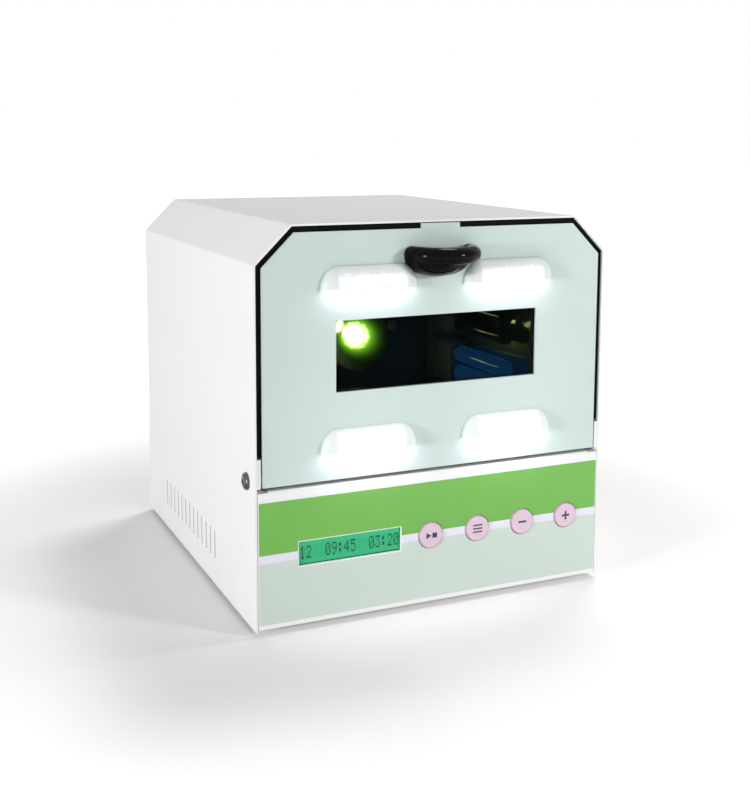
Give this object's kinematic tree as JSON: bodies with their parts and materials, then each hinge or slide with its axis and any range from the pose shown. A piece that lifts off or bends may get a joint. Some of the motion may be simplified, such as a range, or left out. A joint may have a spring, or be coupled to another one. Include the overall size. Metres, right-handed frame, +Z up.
{
  "type": "dental lab light curing unit",
  "caption": "Bench cabinet that light-cures dental resin work: drop-down louvred door with filter window, lamp chamber with turntable, key panel with display.",
  "frame": {"origin": "bottom centre of the whole part's box, on the surface it stands on", "axes": "+Z up, +Y to the rear (the door faces -Y), +X to the right as the door is faced"},
  "size_m": [0.2356, 0.2759, 0.235],
  "materials": {
    "casing_paint": "satin white powder coat",
    "door_paint": "pale grey-green fine-texture powder coat",
    "print_film": "printed polyester film, green over pale grey-green",
    "key_plastic": "satin pink keys",
    "display_window": "clear green-tinted window",
    "display_parts": "green character display",
    "circuit_board": "solder mask green",
    "filter_glass": "dark green light filter",
    "pull_plastic": "high-gloss black moulding",
    "seal_rubber": "matt black",
    "hinge_steel": "white painted steel",
    "screw_steel": "nickel plated",
    "chamber_mirror": "bright reflector sheet",
    "uv_glass": "phosphor-coated lamp tube",
    "lamp_plastic": "white thermoset",
    "reflector_glass": "faceted dichroic reflector",
    "capsule_glass": "quartz capsule",
    "plated_steel": "zinc plated",
    "turntable_metal": "polished",
    "fan_plastic": "black",
    "inlet_plastic": "black",
    "rocker_plastic": "black",
    "magnet_block": "white magnet housing",
    "ballast_aluminium": "natural",
    "transformer_iron": "lacquered laminations",
    "foot_rubber": "matt black"
  },
  "bodies": {
    "housing": {"outer_cover": "casing_paint", "rear_panel": "casing_paint", "front_fascia": "casing_paint", "base_tray": "casing_paint", "chamber_support_left": "casing_paint", "chamber_support_right": "casing_paint", "front_overlay": "print_film", "display_lens": "display_window", "display_module": "display_parts", "control_board": "circuit_board", "door_seal": "seal_rubber", "sill_seal": "seal_rubber", "hinge_bracket_left": "hinge_steel", "hinge_bracket_right": "hinge_steel", "hinge_pin_left": "hinge_steel", "hinge_pin_right": "hinge_steel", "cover_screws": "screw_steel", "rear_screws": "screw_steel", "fan_screws": "screw_steel", "hinge_fixing_screws": "screw_steel", "hinge_cup_washers": "screw_steel", "chamber_liner": "chamber_mirror", "chamber_back": "chamber_mirror", "uv_tube_lower_left": "uv_glass", "uv_tube_lower_right": "uv_glass", "uv_tube_upper_left": "uv_glass", "uv_tube_upper_right": "uv_glass", "uv_base_lower_left": "lamp_plastic", "uv_base_lower_right": "lamp_plastic", "uv_base_upper_left": "lamp_plastic", "uv_base_upper_right": "lamp_plastic", "uv_holder_left": "lamp_plastic", "uv_holder_right": "lamp_plastic", "halogen_reflector_left": "reflector_glass", "halogen_reflector_right": "reflector_glass", "halogen_capsule_left": "capsule_glass", "halogen_capsule_right": "capsule_glass", "halogen_bracket": "plated_steel", "turntable_motor": "plated_steel", "fan_housing": "fan_plastic", "power_inlet": "inlet_plastic", "interlock_switch": "inlet_plastic", "magnet_catch": "magnet_block", "lamp_ballast": "ballast_aluminium", "transformer": "transformer_iron", "rubber_feet": "foot_rubber"},
    "door": {"door_panel": "door_paint", "filter_window": "filter_glass", "window_frame": "door_paint", "door_pull": "pull_plastic", "pull_screws": "screw_steel"},
    "turntable": {"turntable_disc": "turntable_metal", "turntable_shaft": "turntable_metal"},
    "fan_wheel": {"fan_rotor": "fan_plastic"},
    "rocker": {"rocker_key": "rocker_plastic"},
    "start_key": {"key_start": "key_plastic"},
    "program_key": {"key_program": "key_plastic"},
    "minus_key": {"key_minus": "key_plastic"},
    "plus_key": {"key_plus": "key_plastic"},
    "interlock": {"interlock_plunger": "rocker_plastic"}
  },
  "joints": [
    {"name": "door_hinge", "type": "hinge", "parent": "housing", "child": "door", "pos_m": [0, -0.11025, 0.091], "axis": [1, 0, 0], "range_deg": [0, 90]},
    {"name": "turntable_spin", "type": "hinge", "parent": "housing", "child": "turntable", "pos_m": [0, -0.01425, 0.094], "axis": [0, 0, 1], "continuous": true},
    {"name": "fan_spin", "type": "hinge", "parent": "housing", "child": "fan_wheel", "pos_m": [0, 0.12075, 0.193], "axis": [0, 1, 0], "continuous": true},
    {"name": "rocker_tip", "type": "hinge", "parent": "housing", "child": "rocker", "pos_m": [-0.06, 0.13555, 0.062], "axis": [1, 0, 0], "range_deg": [0, 16]},
    {"name": "start_press", "type": "slide", "parent": "housing", "child": "start_key", "axis": [0, 1, 0], "range_m": [0, 0.0006], "stiffness_N_per_m": 800, "springref_m": -0.0005},
    {"name": "program_press", "type": "slide", "parent": "housing", "child": "program_key", "axis": [0, 1, 0], "range_m": [0, 0.0006], "stiffness_N_per_m": 800, "springref_m": -0.0005},
    {"name": "minus_press", "type": "slide", "parent": "housing", "child": "minus_key", "axis": [0, 1, 0], "range_m": [0, 0.0006], "stiffness_N_per_m": 800, "springref_m": -0.0005},
    {"name": "plus_press", "type": "slide", "parent": "housing", "child": "plus_key", "axis": [0, 1, 0], "range_m": [0, 0.0006], "stiffness_N_per_m": 800, "springref_m": -0.0005},
    {"name": "interlock_slide", "type": "slide", "parent": "housing", "child": "interlock", "axis": [0, -1, 0], "range_m": [0, 0.0015]}
  ],
  "couplings": [
    {"joint": "interlock_slide", "follows": "door_hinge", "m_per_rad": 0.00095}
  ]
}
